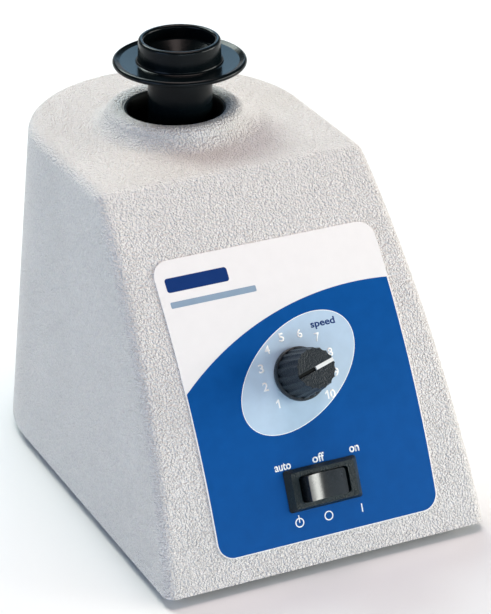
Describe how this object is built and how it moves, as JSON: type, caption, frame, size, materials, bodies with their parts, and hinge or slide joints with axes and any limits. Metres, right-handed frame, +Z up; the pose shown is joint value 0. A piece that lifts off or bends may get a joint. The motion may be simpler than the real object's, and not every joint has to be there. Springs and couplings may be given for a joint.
{
  "type": "vortex mixer",
  "caption": "Bench vortex mixer: drafted cast housing with a curved sloping front, speed knob and three-way rocker, and a black cup head that orbits and presses down.",
  "frame": {"origin": "centre of the footprint on the table plane, under the four feet", "axes": "+Z up, -Y towards the control front, +X to the right seen from the front"},
  "size_m": [0.14, 0.217, 0.1724],
  "materials": {
    "painted_casting": "fine wrinkle texture paint",
    "overlay_print": "printed polycarbonate",
    "plated_steel": "zinc plated",
    "screw_steel": "plated",
    "spring_steel": "spring wire",
    "lamination_steel": "stacked sheet edges",
    "cast_aluminium": "as cast",
    "turned_aluminium": "machined",
    "copper_winding": "enamelled copper wire",
    "bronze": "sintered",
    "cup_rubber": "glossy moulded",
    "foot_rubber": "matte moulded",
    "strap_rubber": "matte sheet",
    "black_plastic": "fine texture",
    "gloss_black": "polished",
    "white_inlay": "moulded insert",
    "fan_plastic": "moulded nylon",
    "board_laminate": "solder mask",
    "component_plastic": "moulded",
    "contact_brass": "bright",
    "fuse_glass": "clear",
    "lead_pvc": "PVC insulated"
  },
  "bodies": {
    "body": {"housing": "painted_casting", "control_overlay": "overlay_print", "base_plate": "plated_steel", "base_screws": "screw_steel", "foot_front_left": "foot_rubber", "foot_front_right": "foot_rubber", "foot_rear_left": "foot_rubber", "foot_rear_right": "foot_rubber", "foot_screws": "screw_steel", "guide_posts": "plated_steel", "post_nuts": "screw_steel", "return_springs": "spring_steel", "potentiometer": "black_plastic", "pot_nut": "screw_steel", "switch_body": "black_plastic", "switch_terminals": "contact_brass", "microswitch": "black_plastic", "microswitch_bracket": "plated_steel", "bracket_screws": "screw_steel", "board_standoffs": "contact_brass", "control_board": "board_laminate", "board_screws": "screw_steel", "triac_heatsink": "turned_aluminium", "film_capacitor": "component_plastic", "terminal_block": "component_plastic", "power_inlet": "black_plastic", "inlet_pins": "contact_brass", "mains_leads": "lead_pvc"},
    "carriage": {"carriage_plate": "plated_steel", "guide_bushes": "bronze", "lower_end_bell": "cast_aluminium", "upper_end_bell": "cast_aluminium", "stator_stack": "lamination_steel", "stator_windings": "copper_winding", "motor_bearings": "plated_steel", "motor_bolts": "screw_steel", "motor_nuts": "screw_steel", "strap_post": "plated_steel"},
    "rotor": {"motor_shaft": "plated_steel", "rotor_core": "lamination_steel", "cooling_fan": "fan_plastic", "eccentric": "plated_steel", "eccentric_set_screw": "screw_steel", "crank_pin": "plated_steel", "head_retaining_screw": "screw_steel"},
    "head": {"head_bearings": "plated_steel", "bearing_spacer": "turned_aluminium", "head_hub": "turned_aluminium", "splash_disc": "black_plastic", "cup_head": "cup_rubber", "anti_spin_strap": "strap_rubber"},
    "knob": {"speed_knob": "black_plastic", "knob_pointer": "white_inlay", "knob_set_screw": "screw_steel", "pot_shaft": "turned_aluminium", "pot_wiper": "black_plastic"},
    "switch_rocker": {"rocker": "gloss_black"},
    "touch_plunger": {"microswitch_plunger": "white_inlay"},
    "fuse_carrier": {"fuse_drawer": "black_plastic", "fuses": "fuse_glass"}
  },
  "joints": [
    {"name": "cup_press", "type": "slide", "parent": "body", "child": "carriage", "axis": [0, 0, 1], "range_m": [-0.002, 0], "stiffness_N_per_m": 3000, "springref_m": 0.01, "deforming": ["return_springs"]},
    {"name": "motor_spin", "type": "hinge", "parent": "carriage", "child": "rotor", "pos_m": [0, 0.0345, 0.1], "axis": [0, 0, 1], "continuous": true},
    {"name": "head_orbit", "type": "hinge", "parent": "rotor", "child": "head", "pos_m": [0.00245, 0.0345, 0.138], "axis": [0, 0, 1], "continuous": true, "deforming": ["anti_spin_strap"]},
    {"name": "speed_dial", "type": "hinge", "parent": "body", "child": "knob", "pos_m": [0.0018, -0.07578, 0.0706], "axis": [0, -0.842, 0.5395], "range_deg": [-60, 210]},
    {"name": "rocker_tilt", "type": "hinge", "parent": "body", "child": "switch_rocker", "pos_m": [0.0018, -0.09419, 0.03093], "axis": [0, 0.4226, 0.9063], "range_deg": [-11, 11]},
    {"name": "touch_switch_press", "type": "slide", "parent": "body", "child": "touch_plunger", "axis": [0, 0, 1], "range_m": [-0.002, 0]},
    {"name": "fuse_drawer_slide", "type": "slide", "parent": "body", "child": "fuse_carrier", "axis": [0, 1, 0], "range_m": [0, 0.016]}
  ],
  "couplings": [
    {"joint": "head_orbit", "follows": "motor_spin", "ratio": -1},
    {"joint": "touch_switch_press", "follows": "cup_press", "ratio": 1}
  ]
}
